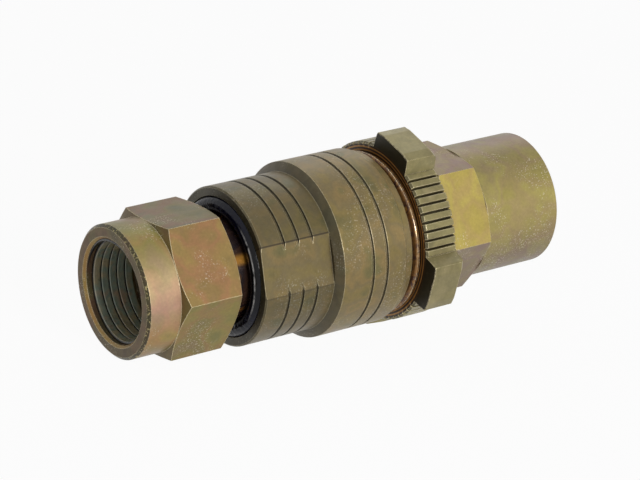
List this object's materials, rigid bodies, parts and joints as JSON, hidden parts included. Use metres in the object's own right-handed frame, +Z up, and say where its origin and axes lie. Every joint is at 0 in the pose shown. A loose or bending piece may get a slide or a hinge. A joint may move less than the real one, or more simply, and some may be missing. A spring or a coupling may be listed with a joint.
{
  "type": "hydraulic quick coupler",
  "caption": "Screw-to-connect hydraulic coupler: two valved halves drawn together by a ball-held threaded sleeve, hexagon pipe-thread ports and a lobed lock ring.",
  "frame": {"origin": "on the coupler's axis, in the plane of the female port's face", "axes": "+X along the axis from the female port to the male port, +Z up, -Y towards the front as pictured"},
  "size_m": [0.0999, 0.0432, 0.0432],
  "materials": {
    "adapter_plating": "yellow zinc plating, golden olive with pink patches",
    "body_plating": "yellow zinc plating, golden",
    "sleeve_plating": "zinc nickel plating, olive brown, satin",
    "lock_ring_plating": "zinc nickel plating, olive brown, satin",
    "valve_steel": "machined steel",
    "spring_steel": "spring steel",
    "ball_steel": "polished bearing steel",
    "seal_rubber": "black nitrile rubber",
    "wiper_rubber": "black rubber, wet look",
    "backup_plastic": "white fluoropolymer"
  },
  "bodies": {
    "female_half": {"female_adapter": "adapter_plating", "female_valve_body": "body_plating", "female_adapter_seal": "seal_rubber", "female_valve_guide": "valve_steel", "female_guide_ring": "spring_steel", "female_spring": "spring_steel", "probe_seal": "seal_rubber", "probe_backup_ring": "backup_plastic", "sleeve_balls": "ball_steel"},
    "coupling_sleeve": {"sleeve": "sleeve_plating", "wiper_ring": "wiper_rubber", "ball_plug": "sleeve_plating"},
    "female_valve": {"female_poppet": "valve_steel", "female_poppet_seal": "seal_rubber"},
    "male_half": {"male_valve_body": "body_plating", "male_adapter": "adapter_plating", "male_adapter_seal": "seal_rubber", "male_valve_guide": "valve_steel", "male_guide_ring": "spring_steel", "male_spring": "spring_steel"},
    "male_valve": {"male_poppet": "valve_steel", "male_poppet_seal": "seal_rubber"},
    "lock_nut": {"lock_ring": "lock_ring_plating"}
  },
  "joints": [
    {"name": "sleeve_turn", "type": "hinge", "parent": "female_half", "child": "coupling_sleeve", "pos_m": [0.03205, 0, 0], "axis": [-1, 0, 0], "range_deg": [0, 1980]},
    {"name": "male_slide", "type": "slide", "parent": "female_half", "child": "male_half", "axis": [1, 0, 0], "range_m": [0, 0.011]},
    {"name": "female_poppet_slide", "type": "slide", "parent": "female_half", "child": "female_valve", "axis": [1, 0, 0], "range_m": [0, 0.0055], "deforming": ["female_spring"]},
    {"name": "male_poppet_slide", "type": "slide", "parent": "male_half", "child": "male_valve", "axis": [-1, 0, 0], "range_m": [0, 0.0055], "deforming": ["male_spring"]},
    {"name": "lock_ring_turn", "type": "hinge", "parent": "male_half", "child": "lock_nut", "pos_m": [0.0659, 0, 0], "axis": [-1, 0, 0], "range_deg": [-250, 485]}
  ],
  "couplings": [
    {"joint": "male_slide", "follows": "sleeve_turn", "m_per_rad": 0.0003183},
    {"joint": "female_poppet_slide", "follows": "sleeve_turn", "m_per_rad": 0.00015915},
    {"joint": "male_poppet_slide", "follows": "sleeve_turn", "m_per_rad": 0.00015915}
  ]
}
